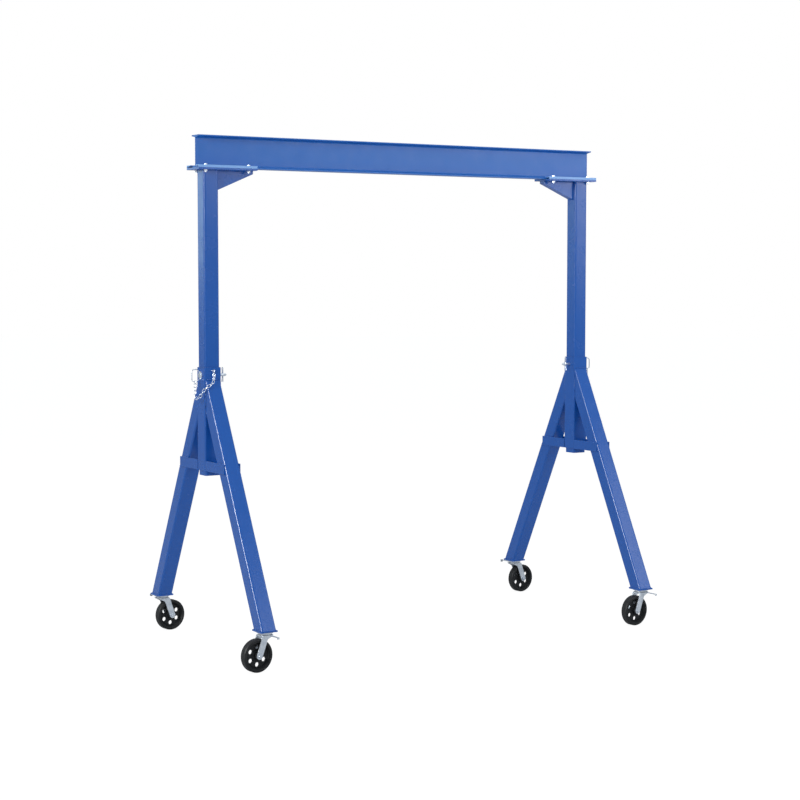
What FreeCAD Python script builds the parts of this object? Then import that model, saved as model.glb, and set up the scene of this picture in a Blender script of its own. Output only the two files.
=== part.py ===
"""Gantry crane: an I-beam on two height-adjustable A-frames that roll on swivel casters.

X runs along the beam, Y across it and Z up. The origin is on the ground, below the middle of the beam.
The right end is the left end turned half a turn about Z, so every piece of an end is drawn once, about
the axis of its post or of its caster's swivel, with the middle of the beam towards +X.
"""
import FreeCAD
import Part
import Sketcher
import math
import os
import re

# ---------------------------------------------------------------- driving dimensions, in mm and degrees
DIMENSIONS = [
    ("beam_length", 3048.0, "whole length of the beam"),
    ("under_height", 3048.0, "ground to the underside of the beam, at the lowest setting"),
    ("beam_depth", 203.2, "depth of the I section"),
    ("flange_width", 101.6, "width of both flanges"),
    ("flange_mean", 10.8, "flange thickness halfway between toe and web"),
    ("flange_slope", 0.1667, "rise of the flange's inner face for each mm across"),
    ("web_thick", 6.9, "thickness of the beam's web"),
    ("root_radius", 7.0, "fillet between web and flange"),
    ("toe_radius", 3.0, "rounding of the flange's inner edge"),
    ("post_inset", 84.0, "end of the beam to the axis of the post"),
    ("post_size", 101.6, "outside of the square post"),
    ("post_wall", 6.35, "wall of the post"),
    ("post_radius", 12.7, "outside corner radius of the post"),
    ("post_bottom", 1118.0, "ground to the bottom of the post, at the lowest setting"),
    ("plate_outer", 101.6, "axis of the post to the outer end of the top plate"),
    ("plate_long", 406.4, "length of the top plate along the beam"),
    ("plate_lip", 38.1, "top plate past the edge of the flange"),
    ("plate_thick", 12.7, "thickness of the top plate"),
    ("knee_reach", 254.0, "reach of the knee brace from the face of the post"),
    ("knee_drop", 127.0, "height of the knee brace at the post"),
    ("knee_tip", 19.05, "height of the knee brace at its tip"),
    ("knee_wide", 50.8, "width of the knee brace"),
    ("knee_wall", 4.76, "wall of the knee brace"),
    ("clamp_lap", 12.7, "edge of the flange to the clamp's inner edge"),
    ("clamp_wall", 6.35, "wall of the clamp"),
    ("clamp_slack", 0.2, "play between the clamp's edge and the flange"),
    ("bolt_size", 12.7, "diameter of the clamp bolts"),
    ("bolt_play", 0.8, "bolt holes are this much wider than the bolts"),
    ("bolt_off", 15.9, "edge of the flange, or of a wider post, to the bolts"),
    ("bolt_outer", 44.45, "axis of the post out to the outer bolts"),
    ("bolt_inner", 254.0, "axis of the post in to the inner bolts"),
    ("head_flats", 19.05, "across the flats of a bolt head and its nut"),
    ("head_tall", 7.9, "height of a bolt head"),
    ("nut_tall", 11.1, "height of a nut"),
    ("thread_spare", 6.0, "thread that stands out of a nut"),
    ("sleeve_wall", 4.76, "wall of the sleeve"),
    ("sleeve_play", 1.59, "gap between post and sleeve"),
    ("sleeve_radius", 9.5, "outside corner radius of the sleeve"),
    ("sleeve_top", 1800.0, "ground to the top of the sleeve"),
    ("sleeve_bottom", 1150.0, "ground to the bottom of the sleeve"),
    ("pin_height", 1750.0, "ground to the axis of the lock pin"),
    ("pin_size", 19.05, "diameter of the lock pin"),
    ("pin_play", 1.6, "pin holes are this much wider than the pin"),
    ("hole_pitch", 76.2, "spacing of the holes in the post"),
    ("hole_count", 7.0, "holes in the post"),
    ("pin_spare", 62.0, "length of pin past the sleeve"),
    ("clip_place", 40.0, "sleeve to the clip through the pin"),
    ("clip_size", 4.76, "wire of the clip"),
    ("clip_tall", 92.0, "length of the clip's straight leg"),
    ("tip_long", 8.0, "length of the pin's tapered tip"),
    ("collar_thick", 6.35, "thickness of the pin's collar"),
    ("collar_dia", 50.8, "diameter of the pin's collar"),
    ("head_out", 5.0, "height of the pin's head above the collar"),
    ("bail_root", 19.0, "axis of the pin to the ends of the handle's wire"),
    ("bail_neck", 27.0, "sleeve to the bends beside the collar"),
    ("bail_bend", 16.0, "radius of the handle's bends"),
    ("bail_tall", 76.0, "height of the pin's handle between the middles of its wires"),
    ("bail_out", 62.0, "sleeve to the middle of the handle's grip wire"),
    ("bail_size", 6.35, "wire of the handle"),
    ("leg_size", 101.6, "outside of the square leg"),
    ("leg_wall", 4.76, "wall of the leg"),
    ("leg_radius", 12.7, "outside corner radius of the leg"),
    ("leg_lean", 27.0, "lean of the legs from upright"),
    ("leg_spread", 750.0, "middle of the frame to the middle of a leg's foot"),
    ("brace_tall", 63.5, "height of the brace bars"),
    ("brace_thick", 6.35, "thickness of the brace bars"),
    ("brace_reach", 320.0, "middle of the frame to the end of a brace bar"),
    ("foot_lip", 0.15, "foot plate past the leg"),
    ("foot_thick", 9.53, "thickness of the foot plate"),
    ("wheel_dia", 203.2, "diameter of the wheel"),
    ("wheel_wide", 50.8, "width of the wheel"),
    ("swivel_lead", 60.0, "axis of the swivel to the axle, seen from above"),
    ("caster_yaw", 6.0, "turn of the wheels from the line of the beam"),
    ("race_plate_dia", 101.6, "diameter of the caster's top plate"),
    ("race_plate_thick", 6.35, "thickness of the caster's top plate"),
    ("race_dia", 84.0, "diameter of the ball race"),
    ("race_tall", 8.0, "height of the fixed half of the race"),
    ("race_low", 4.2, "height of the turning half of the race"),
    ("race_gap", 0.5, "gap between the halves of the race"),
    ("king_dia", 22.0, "diameter of the king pin"),
    ("running_play", 0.2, "radial play of king pin and axle"),
    ("crown_thick", 6.35, "thickness of the fork's crown"),
    ("crown_gap", 12.7, "wheel to the underside of the crown"),
    ("crown_front", 34.0, "axis of the swivel to the front of the crown"),
    ("crown_back", 38.0, "axis of the swivel to the back of the crown"),
    ("neck_front", 3.0, "axis of the swivel back to the front of the fork's legs"),
    ("neck_drop", 18.0, "underside of the crown to the top of the legs' straight front"),
    ("fork_gap", 5.0, "wheel to the fork's leg"),
    ("fork_wall", 6.35, "thickness of the fork's legs"),
    ("fork_end", 20.0, "radius of the fork's lower ends"),
    ("axle_dia", 12.7, "diameter of the axle bolt"),
    ("hub_radius", 24.0, "radius of the wheel's hub"),
    ("hub_gap", 2.0, "hub to the fork's leg"),
    ("rim_inner", 76.0, "inner radius of the rim"),
    ("web_half", 5.5, "half the thickness of the wheel's web"),
    ("tread_round", 8.0, "rounding of the tread's shoulders"),
    ("wheel_hole_dia", 28.0, "diameter of the holes in the wheel's web"),
    ("wheel_hole_ring", 108.0, "diameter of the ring of holes"),
    ("wheel_hole_count", 6.0, "holes in the wheel's web"),
    ("lever_reach", 148.0, "axis of the swivel to the end of the lock lever"),
    ("lever_wide", 12.0, "width of the lock lever"),
    ("lever_tip", 4.76, "thickness of the tab at the end of the lock lever"),
    ("lever_tab", 12.0, "height of the tab at the end of the lock lever"),
    ("link_wire", 3.6, "wire of the chain"),
    ("link_pitch", 24.0, "pitch of the chain's links"),
    ("link_wide", 12.0, "width inside a link"),
]

# Lengths and places that follow from the driving dimensions.
DERIVED = {
    "post_x": "beam_length / 2 - post_inset",
    "plate_under": "under_height - plate_thick",
    "plate_inner": "plate_long - plate_outer",
    "plate_wide": "flange_width + 2 * plate_lip",
    "post_length": "plate_under - post_bottom",
    "post_half": "post_size / 2",
    "sleeve_size": "post_size + 2 * sleeve_play + 2 * sleeve_wall",
    "sleeve_half": "sleeve_size / 2",
    "half_flange": "flange_width / 2",
    "half_web": "web_thick / 2",
    "toe_thick": "flange_mean - flange_slope * (half_flange - half_web) / 2",
    "root_thick": "flange_mean + flange_slope * (half_flange - half_web) / 2",
    "clamp_inner": "half_flange - clamp_lap",
    "bolt_across": "max(half_flange; post_half) + bolt_off",
    "clamp_under": "toe_thick + flange_slope * (half_flange - clamp_inner) + clamp_slack",
    "clamp_top": "clamp_under + clamp_wall",
    "caster_height": "crown_top + race_low + race_gap + race_tall + race_plate_thick",
    "foot_top": "caster_height + foot_thick",
    "foot_size": "2 * leg_half + 2 * foot_lip",
    "leg_half": "leg_size / 2 / cos(leg_lean)",
    "leg_bore_half": "(leg_size / 2 - leg_wall) / cos(leg_lean)",
    "wheel_radius": "wheel_dia / 2",
    "wheel_half": "wheel_wide / 2",
    "crown_under": "wheel_dia + crown_gap",
    "crown_top": "crown_under + crown_thick",
    "fork_inner": "wheel_half + fork_gap",
    "fork_outer": "fork_inner + fork_wall",
    "hub_half": "fork_inner - hub_gap",
    "race_under": "crown_top + race_low + race_gap",
    "knee_slope": "(knee_drop - knee_tip) / knee_reach",
    "knee_lift": "knee_wall * sqrt(1 + knee_slope * knee_slope)",
    "pin_hole_radius": "(pin_size + pin_play) / 2",
}

CUT_PAST = 20.0  # how far a cutting shape runs past the solid that it cuts
ALONG_X = FreeCAD.Vector(1, 0, 0)
ALONG_Y = FreeCAD.Vector(0, 1, 0)
ALONG_Z = FreeCAD.Vector(0, 0, 1)

doc = FreeCAD.newDocument("GantryCrane")
sheet = doc.addObject("Spreadsheet::Sheet", "Size")
for row, (alias, number, meaning) in enumerate(DIMENSIONS, 1):
    sheet.set("A%d" % row, meaning)
    sheet.set("B%d" % row, str(number))
    sheet.setAlias("B%d" % row, alias)
doc.recompute()

ALIASES = {alias for alias, number, meaning in DIMENSIONS}
nodes = []


# ---------------------------------------------------------------- expressions
def formula(text):
    """Text with its named lengths written out as cells of the sheet."""

    def cell(found):
        word = found.group(0)
        if word in DERIVED:
            return "(" + formula(DERIVED[word]) + ")"
        return "Size." + word if word in ALIASES else word

    return re.sub(r"[a-z_]+", cell, str(text))


def size(text):
    """The present value of a formula."""
    return float(sheet.evalExpression(formula(text)))


def bind(thing, field, text):
    thing.setExpression(field, formula(text))


def place(thing, x="0", y="0", z="0", turn="0"):
    """Puts a piece at x, y, z, turned about Z."""
    thing.Placement = FreeCAD.Placement(FreeCAD.Vector(), FreeCAD.Rotation(ALONG_Z, size(turn)))
    bind(thing, "Placement.Base.x", x)
    bind(thing, "Placement.Base.y", y)
    bind(thing, "Placement.Base.z", z)
    bind(thing, "Placement.Rotation.Angle", turn)


# ---------------------------------------------------------------- bodies and sketches
def new_body(name):
    return doc.addObject("PartDesign::Body", name)


def origin_part(body, role):
    return next(part for part in body.Origin.OriginFeatures if part.Role == role)


def new_sketch(body, plane):
    sketch = body.newObject("Sketcher::SketchObject", body.Name + "_sketch")
    sketch.AttachmentSupport = [(origin_part(body, plane), "")]
    sketch.MapMode = "FlatFace"
    return sketch


def hold(sketch, kind, curve, point, text, name):
    """Fixes one coordinate of a point of a curve, from the sketch's origin."""
    number = sketch.addConstraint(Sketcher.Constraint(kind, -1, 1, curve, point, size(text)))
    sketch.renameConstraint(number, name)
    bind(sketch, "Constraints." + name, text)


def draw_outline(sketch, corners):
    """A closed outline of straight lines. Each corner is a pair of formulas."""
    points = [FreeCAD.Vector(size(across), size(up), 0) for across, up in corners]
    count = len(points)
    first = sketch.GeometryCount
    for index in range(count):
        sketch.addGeometry(Part.LineSegment(points[index], points[(index + 1) % count]), False)
    for index in range(count):
        following = first + (index + 1) % count
        sketch.addConstraint(Sketcher.Constraint("Coincident", first + index, 2, following, 1))
    for index, (across, up) in enumerate(corners):
        hold(sketch, "DistanceX", first + index, 1, across, "across%d" % (first + index))
        hold(sketch, "DistanceY", first + index, 1, up, "up%d" % (first + index))


def draw_rectangle(sketch, left, right, low, high):
    draw_outline(sketch, [(left, low), (right, low), (right, high), (left, high)])


def draw_circle(sketch, across, up, radius):
    middle = FreeCAD.Vector(size(across), size(up), 0)
    curve = sketch.addGeometry(Part.Circle(middle, FreeCAD.Vector(0, 0, 1), size(radius)), False)
    hold(sketch, "DistanceX", curve, 3, across, "across%d" % curve)
    hold(sketch, "DistanceY", curve, 3, up, "up%d" % curve)
    number = sketch.addConstraint(Sketcher.Constraint("Radius", curve, size(radius)))
    sketch.renameConstraint(number, "radius%d" % curve)
    bind(sketch, "Constraints.radius%d" % curve, radius)


def add_pad(body, sketch, length, both_ways=False):
    pad = body.newObject("PartDesign::Pad", body.Name + "_pad")
    pad.Profile = sketch
    bind(pad, "Length", length)
    if both_ways:
        pad.SideType = "Symmetric"
    doc.recompute()
    return pad


def add_pocket(body, sketch, length=None):
    """Cuts both ways from the sketch, right through or to a whole width of length."""
    pocket = body.newObject("PartDesign::Pocket", body.Name + "_pocket")
    pocket.Profile = sketch
    pocket.SideType = "Symmetric"
    if length is None:
        pocket.Type = "ThroughAll"
    else:
        bind(pocket, "Length", length)
    doc.recompute()
    return pocket


def add_fillet(body, edges, radius):
    base = body.Tip
    fillet = body.newObject("PartDesign::Fillet", body.Name + "_fillet")
    fillet.Base = (base, edges)
    bind(fillet, "Radius", radius)
    doc.recompute()
    return fillet


def straight_edges(body, direction, wanted):
    """Names of the body's straight edges along a direction whose middle point is wanted."""
    names = []
    for number, edge in enumerate(body.Tip.Shape.Edges, 1):
        if edge.Curve.TypeId != "Part::GeomLine":
            continue
        along = edge.tangentAt(edge.FirstParameter)
        middle = edge.valueAt((edge.FirstParameter + edge.LastParameter) / 2)
        if abs(along.dot(direction)) > 0.999 and wanted(middle):
            names.append("Edge%d" % number)
    return names


def keep_node(thing, name):
    """Names a finished piece, which is written to a file of that name."""
    thing.Label = name
    nodes.append(thing)
    return thing


def add_cylinder(name, radius, height, x="0", y="0", z="0", axis=ALONG_Z):
    """A cylinder that starts at x, y, z and runs along an axis."""
    cylinder = doc.addObject("Part::Cylinder", name)
    cylinder.Placement = FreeCAD.Placement(FreeCAD.Vector(), FreeCAD.Rotation(ALONG_Z, axis))
    bind(cylinder, "Radius", radius)
    bind(cylinder, "Height", height)
    bind(cylinder, "Placement.Base.x", x)
    bind(cylinder, "Placement.Base.y", y)
    bind(cylinder, "Placement.Base.z", z)
    return cylinder


def add_hexagon(name, flats, height, x="0", y="0", z="0", axis=ALONG_Z):
    """A six-sided head or nut that starts at x, y, z and runs along an axis."""
    prism = doc.addObject("Part::Prism", name)
    prism.Polygon = 6
    prism.Placement = FreeCAD.Placement(FreeCAD.Vector(), FreeCAD.Rotation(ALONG_Z, axis))
    bind(prism, "Circumradius", "%s / 2 / cos(30)" % flats)
    bind(prism, "Height", height)
    bind(prism, "Placement.Base.x", x)
    bind(prism, "Placement.Base.y", y)
    bind(prism, "Placement.Base.z", z)
    return prism


def add_box(name, low, high):
    """A box between two corners, each given as three formulas."""
    box = doc.addObject("Part::Box", name)
    for field, letter, start, end in zip(("Length", "Width", "Height"), "xyz", low, high):
        bind(box, field, "(%s) - (%s)" % (end, start))
        bind(box, "Placement.Base." + letter, start)
    return box


def join(kind, name, things):
    """Fuses pieces that touch, or groups pieces that stay apart, as one object."""
    joined = doc.addObject("Part::" + kind, name)
    if kind == "MultiFuse":
        joined.Shapes = things
        joined.Refine = True
    else:
        joined.Links = things
    return joined


def cut(name, base, tool):
    result = doc.addObject("Part::Cut", name)
    result.Base = base
    result.Tool = tool
    return result


def square_tube(name, outside, wall, radius, length):
    """An upright square tube that stands on its origin."""
    body = new_body(name)
    outer = new_sketch(body, "XY_Plane")
    half = "%s / 2" % outside
    draw_rectangle(outer, "-" + half, half, "-" + half, half)
    add_pad(body, outer, length)
    add_fillet(body, straight_edges(body, ALONG_Z, lambda middle: True), radius)
    bore = new_sketch(body, "XY_Plane")
    inner = "(%s / 2 - %s)" % (outside, wall)
    draw_rectangle(bore, "-" + inner, inner, "-" + inner, inner)
    add_pocket(body, bore)
    reach = size(inner) + 0.01
    corners = straight_edges(
        body, ALONG_Z, lambda middle: abs(abs(middle.x) - reach) < 0.1 and abs(abs(middle.y) - reach) < 0.1
    )
    add_fillet(body, corners, "%s - %s" % (radius, wall))
    return body


def drill_across(body, height):
    """One hole for the lock pin, along X through both walls of a tube."""
    hole = new_sketch(body, "YZ_Plane")
    draw_circle(hole, "0", height, "pin_hole_radius")
    return add_pocket(body, hole)


# ---------------------------------------------------------------- the beam and what moves with it
def make_beam():
    body = new_body("beam")
    section = new_sketch(body, "YZ_Plane")
    draw_outline(
        section,
        [
            ("-half_flange", "0"),
            ("half_flange", "0"),
            ("half_flange", "toe_thick"),
            ("half_web", "root_thick"),
            ("half_web", "beam_depth - root_thick"),
            ("half_flange", "beam_depth - toe_thick"),
            ("half_flange", "beam_depth"),
            ("-half_flange", "beam_depth"),
            ("-half_flange", "beam_depth - toe_thick"),
            ("-half_web", "beam_depth - root_thick"),
            ("-half_web", "root_thick"),
            ("-half_flange", "toe_thick"),
        ],
    )
    add_pad(body, section, "beam_length", both_ways=True)
    root = size("half_web") + 0.1
    add_fillet(body, straight_edges(body, ALONG_X, lambda middle: abs(middle.y) < root), "root_radius")
    low, high = size("toe_thick") - 0.1, size("beam_depth - toe_thick") + 0.1
    toes = straight_edges(
        body, ALONG_X, lambda middle: abs(middle.y) > size("half_flange") - 0.1 and low < middle.z < high
    )
    add_fillet(body, toes, "toe_radius")
    place(body, z="under_height")
    keep_node(body, "beam")


def make_post(end, side, turn):
    body = square_tube(end + "_post", "post_size", "post_wall", "post_radius", "post_length")
    hole = drill_across(body, "pin_height - post_bottom")
    row = body.newObject("PartDesign::LinearPattern", body.Name + "_holes")
    row.Originals = [hole]
    row.Direction = (origin_part(body, "Z_Axis"), [""])
    row.Reversed = True
    row.Mode = "Spacing"
    bind(row, "Offset", "hole_pitch")
    bind(row, "Occurrences", "hole_count")
    body.Tip = row
    doc.recompute()
    place(body, x=side + "post_x", z="post_bottom", turn=turn)
    keep_node(body, end + "_post")


def make_top_plate(end, side, turn):
    body = new_body(end + "_top_plate")
    outline = new_sketch(body, "XY_Plane")
    draw_rectangle(outline, "-plate_outer", "plate_inner", "-plate_wide / 2", "plate_wide / 2")
    for along in ("-bolt_outer", "bolt_inner"):
        for across in ("-bolt_across", "bolt_across"):
            draw_circle(outline, along, across, "(bolt_size + bolt_play) / 2")
    add_pad(body, outline, "plate_thick")
    place(body, x=side + "post_x", z="plate_under", turn=turn)
    keep_node(body, end + "_top_plate")


def make_knee_brace(end, side, turn):
    """A three-cornered box brace, open to the plate and to the post that it is welded to."""
    body = new_body(end + "_knee_brace")
    outline = new_sketch(body, "XZ_Plane")
    tip = "post_half + knee_reach"
    draw_outline(
        outline, [("post_half", "0"), ("post_half", "-knee_drop"), (tip, "-knee_tip"), (tip, "0")]
    )
    add_pad(body, outline, "knee_wide", both_ways=True)
    hollow = new_sketch(body, "XZ_Plane")
    start = "post_half - %s" % CUT_PAST
    stop = "post_half + knee_reach - knee_wall"
    draw_outline(
        hollow,
        [
            (start, str(CUT_PAST)),
            (start, "-knee_drop + knee_lift - knee_slope * %s" % CUT_PAST),
            (stop, "-knee_drop + knee_lift + knee_slope * (knee_reach - knee_wall)"),
            (stop, str(CUT_PAST)),
        ],
    )
    add_pocket(body, hollow, "knee_wide - 2 * knee_wall")
    place(body, x=side + "post_x", z="plate_under", turn=turn)
    keep_node(body, end + "_knee_brace")


def make_clamp_bar(end, across):
    """One angle over the edge of the lower flange, with its heel on the top plate."""
    body = new_body(end + ("_far" if across == "" else "_near") + "_clamp")
    section = new_sketch(body, "YZ_Plane")
    heel = "plate_wide / 2"
    corners = [
        ("clamp_inner", "clamp_under"),
        (heel + " - clamp_wall", "clamp_under"),
        (heel + " - clamp_wall", "0"),
        (heel, "0"),
        (heel, "clamp_top"),
        ("clamp_inner", "clamp_top"),
    ]
    draw_outline(section, [(across + "(" + out + ")", up) for out, up in corners])
    add_pad(body, section, "plate_long", both_ways=True)
    holes = new_sketch(body, "XY_Plane")
    middle = "(plate_inner - plate_outer) / 2"
    for along in ("-bolt_outer", "bolt_inner"):
        draw_circle(holes, "%s - %s" % (along, middle), across + "bolt_across", "(bolt_size + bolt_play) / 2")
    add_pocket(body, holes)
    bind(body, "Placement.Base.x", middle)
    return body


def make_clamp_bars(end, side, turn):
    bars = join("Compound", end + "_clamp_bars", [make_clamp_bar(end, ""), make_clamp_bar(end, "-")])
    place(bars, x=side + "post_x", z="under_height", turn=turn)
    keep_node(bars, end + "_clamp_bars")


def make_clamp_bolts(end, side, turn):
    """Four bolts down through clamp and plate, each with its nut."""
    bolts = []
    for along in ("-bolt_outer", "bolt_inner"):
        for across in ("-bolt_across", "bolt_across"):
            name = "%s_bolt%d" % (end, len(bolts))
            low = "-plate_thick - nut_tall - thread_spare"
            shank = add_cylinder(name, "bolt_size / 2", "clamp_top - (%s)" % low, along, across, low)
            head = add_hexagon(name + "_head", "head_flats", "head_tall", along, across, "clamp_top")
            nut = add_hexagon(name + "_nut", "head_flats", "nut_tall", along, across, "-plate_thick - nut_tall")
            bolts.append(join("MultiFuse", name + "_whole", [shank, head, nut]))
    group = join("Compound", end + "_clamp_bolts", bolts)
    place(group, x=side + "post_x", z="under_height", turn=turn)
    keep_node(group, end + "_clamp_bolts")


# ---------------------------------------------------------------- the A-frames
def make_sleeve(end, side, turn):
    body = square_tube(
        end + "_sleeve", "sleeve_size", "sleeve_wall", "sleeve_radius", "sleeve_top - sleeve_bottom"
    )
    drill_across(body, "pin_height - sleeve_bottom")
    place(body, x=side + "post_x", z="sleeve_bottom", turn=turn)
    keep_node(body, end + "_sleeve")


def leg_outline(sketch, half, past):
    """Side view of a leg or of its bore: square to the ground below, and to the sleeve above."""
    low = "foot_top - %s" % past
    foot = "leg_spread + %s * tan(leg_lean)" % past
    top = "sleeve_half - %s" % past
    corners = [("%s - %s" % (foot, half), low), ("%s + %s" % (foot, half), low)]
    for sign in ("+", "-"):
        corners.append((top, "%s + (%s %s %s - (%s)) / tan(leg_lean)" % (low, foot, sign, half, top)))
    draw_outline(sketch, corners)


def make_leg(end, side, where, turn):
    body = new_body("%s_%s_leg" % (end, where))
    outline = new_sketch(body, "YZ_Plane")
    leg_outline(outline, "leg_half", 0)
    add_pad(body, outline, "leg_size", both_ways=True)
    lean = math.radians(size("leg_lean"))
    slant = FreeCAD.Vector(0, -math.sin(lean), math.cos(lean))
    add_fillet(body, straight_edges(body, slant, lambda middle: True), "leg_radius")
    bore = new_sketch(body, "YZ_Plane")
    leg_outline(bore, "leg_bore_half", CUT_PAST)
    add_pocket(body, bore, "leg_size - 2 * leg_wall")
    inner = size("leg_size / 2 - leg_wall")
    corners = straight_edges(body, slant, lambda middle: abs(abs(middle.x) - inner) < 0.1)
    add_fillet(body, corners, "leg_radius - leg_wall")
    place(body, x=side + "post_x", turn=turn)
    keep_node(body, body.Name)


def make_braces(end, side, turn):
    """Flat bars from the sleeve to the sides of both legs, flush with the faces of the sleeve."""
    bars = []
    for across in ("-", ""):
        for along in ("-", ""):
            faces = [along + "leg_size / 2", along + "(leg_size / 2 + brace_thick)"]
            reach = [across + "sleeve_half", across + "brace_reach"]
            faces.sort(key=size)
            reach.sort(key=size)
            low = (faces[0], reach[0], "sleeve_bottom")
            high = (faces[1], reach[1], "sleeve_bottom + brace_tall")
            bars.append(add_box("%s_brace%d" % (end, len(bars)), low, high))
    group = join("Compound", end + "_braces", bars)
    place(group, x=side + "post_x", turn=turn)
    keep_node(group, end + "_braces")


def make_foot(end, side, where, across):
    body = new_body("%s_%s_foot" % (end, where))
    outline = new_sketch(body, "XY_Plane")
    half = "foot_size / 2"
    draw_rectangle(outline, "-" + half, half, "-" + half, half)
    add_pad(body, outline, "foot_thick")
    place(body, x=side + "post_x", y=across + "leg_spread", z="caster_height")
    keep_node(body, body.Name)


# ---------------------------------------------------------------- lock pins
def bent_wire(points, bend, wire):
    """A round wire along straight runs, joined by arcs of radius bend, in one plane."""
    edges = []
    start = points[0]
    for before, corner, after in zip(points, points[1:], points[2:]):
        back = (before - corner).normalize()
        on = (after - corner).normalize()
        half_angle = back.getAngle(on) / 2
        setback = bend / math.tan(half_angle)
        enter = corner + back * setback
        leave = corner + on * setback
        bisector = (back + on).normalize()
        crest = corner + bisector * (bend / math.sin(half_angle) - bend)
        edges.append(Part.LineSegment(start, enter).toShape())
        edges.append(Part.Arc(enter, crest, leave).toShape())
        start = leave
    edges.append(Part.LineSegment(start, points[-1]).toShape())
    path = Part.Wire(edges)
    ring = Part.Wire(Part.Circle(points[0], points[1] - points[0], wire / 2).toShape())
    return path.makePipeShell([ring], True, True)


def make_lock_pin(end, side, turn):
    """A pin along X with a collar at its outer end and a bent handle on the collar."""
    name = end + "_lock_pin"
    outer = "-sleeve_half - collar_thick"
    shank = "sleeve_size + collar_thick + pin_spare - tip_long"
    pin = add_cylinder(name + "_shank", "pin_size / 2", shank, outer, axis=ALONG_X)
    tip = doc.addObject("Part::Cone", name + "_tip")
    bind(tip, "Radius1", "pin_size / 2")
    bind(tip, "Radius2", "pin_size / 4")
    bind(tip, "Height", "tip_long")
    tip.Placement.Rotation = FreeCAD.Rotation(ALONG_Z, ALONG_X)
    bind(tip, "Placement.Base.x", "sleeve_half + pin_spare - tip_long")
    collar = add_cylinder(name + "_collar", "collar_dia / 2", "collar_thick", outer, axis=ALONG_X)
    head = add_cylinder(name + "_head", "0.8 * pin_size", "head_out", outer + " - head_out", axis=ALONG_X)
    bail = doc.addObject("Part::Feature", name + "_bail")
    root, neck = size("-sleeve_half - collar_thick / 2"), size("-sleeve_half - bail_neck")
    grip, rise, low = size("-sleeve_half - bail_out"), size("bail_tall / 2"), size("bail_root")
    corners = [(root, low), (neck, rise), (grip, rise), (grip, -rise), (neck, -rise), (root, -low)]
    points = [FreeCAD.Vector(along, 0, up) for along, up in corners]
    bail.Shape = bent_wire(points, size("bail_bend"), size("bail_size"))
    whole = join("MultiFuse", name + "_whole", [pin, tip, collar, head, bail])
    hole_radius = "clip_size / 2 + running_play"
    hole = add_cylinder(name + "_clip_hole", hole_radius, "2 * pin_size", "sleeve_half + clip_place", z="-pin_size")
    drilled = cut(name, whole, hole)
    place(drilled, x=side + "post_x", z="pin_height", turn=turn)
    keep_node(drilled, name)


def make_hairpin(end, side, turn):
    """A wire clip: one leg through the pin, the other bent round the outside of it."""
    wire = size("clip_size")
    half = size("clip_tall / 2")
    clear = size("pin_size / 2 + clip_size / 2 + running_play")
    bow = 1.5 * wire
    spring = [(0, -half), (0, half), (1.15 * clear, half), (0.9 * clear, 1.1 * clear), (1.3 * clear, 0)]
    spring += [(0.9 * clear, -1.1 * clear), (1.4 * clear, -half)]
    clip = doc.addObject("Part::Feature", end + "_hairpin")
    clip.Shape = bent_wire([FreeCAD.Vector(0, across, up) for across, up in spring], bow, wire)
    place(clip, x=side + "(post_x - sleeve_half - clip_place)", z="pin_height", turn=turn)
    keep_node(clip, end + "_hairpin")


# Points that the chain hangs through, from the handle to the staple, from the post's axis and the pin.
CHAIN_ROUTE = [
    (-96, 0, -52),
    (-100, -2, -85),
    (-104, -9, -118),
    (-104, -21, -139),
    (-99, -36, -147),
    (-91, -52, -136),
    (-83, -64, -115),
    (-72, -79, -89),
    (-54, -91, -69),
    (-28, -92, -54),
    (-11, -86, -39),
    (-3, -79, -17),
    (0, -72, 9),
    (0, -69, 34),
]
ROUTE_HALF = 57.15  # half of the sleeve that the route is laid out around
LINK_SLACK = 1.0  # how much closer than their pitch the links hang
RING_RADIUS = 11.0  # middle of the wire of the ring on the handle


def closed_wire(corners, wire):
    """A closed oval of round wire through two straight runs, given by their ends, and two half turns."""
    near_start, near_end, far_start, far_end = corners
    path = Part.Wire(
        [
            Part.LineSegment(near_start, near_end).toShape(),
            half_turn(near_end, far_start),
            Part.LineSegment(far_start, far_end).toShape(),
            half_turn(far_end, near_start),
        ]
    )
    ring = Part.Wire(Part.Circle(near_start, near_end - near_start, wire / 2).toShape())
    return path.makePipeShell([ring], True, True)


def half_turn(start, stop):
    """Half a circle in the XY plane that bulges away from the origin along X."""
    radius = start.distanceToPoint(stop) / 2
    crest = (start + stop) / 2 + FreeCAD.Vector(math.copysign(radius, start.x), 0, 0)
    return Part.Arc(start, crest, stop).toShape()


def chain_link(wire, pitch, wide):
    """A closed oval link in the XY plane, long along X."""
    across = (wide + wire) / 2
    along = (pitch - wide) / 2
    corners = [(-along, across), (along, across), (along, -across), (-along, -across)]
    return closed_wire([FreeCAD.Vector(x, y, 0) for x, y in corners], wire)


def evenly_along(points, pitch):
    """An odd number of points, about a pitch apart, along a smooth curve through the given ones."""
    curve = Part.BSplineCurve()
    curve.interpolate(points)
    pairs = round(curve.length() / pitch / 2)
    return curve.toShape().discretize(Number=2 * pairs + 1)


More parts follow.
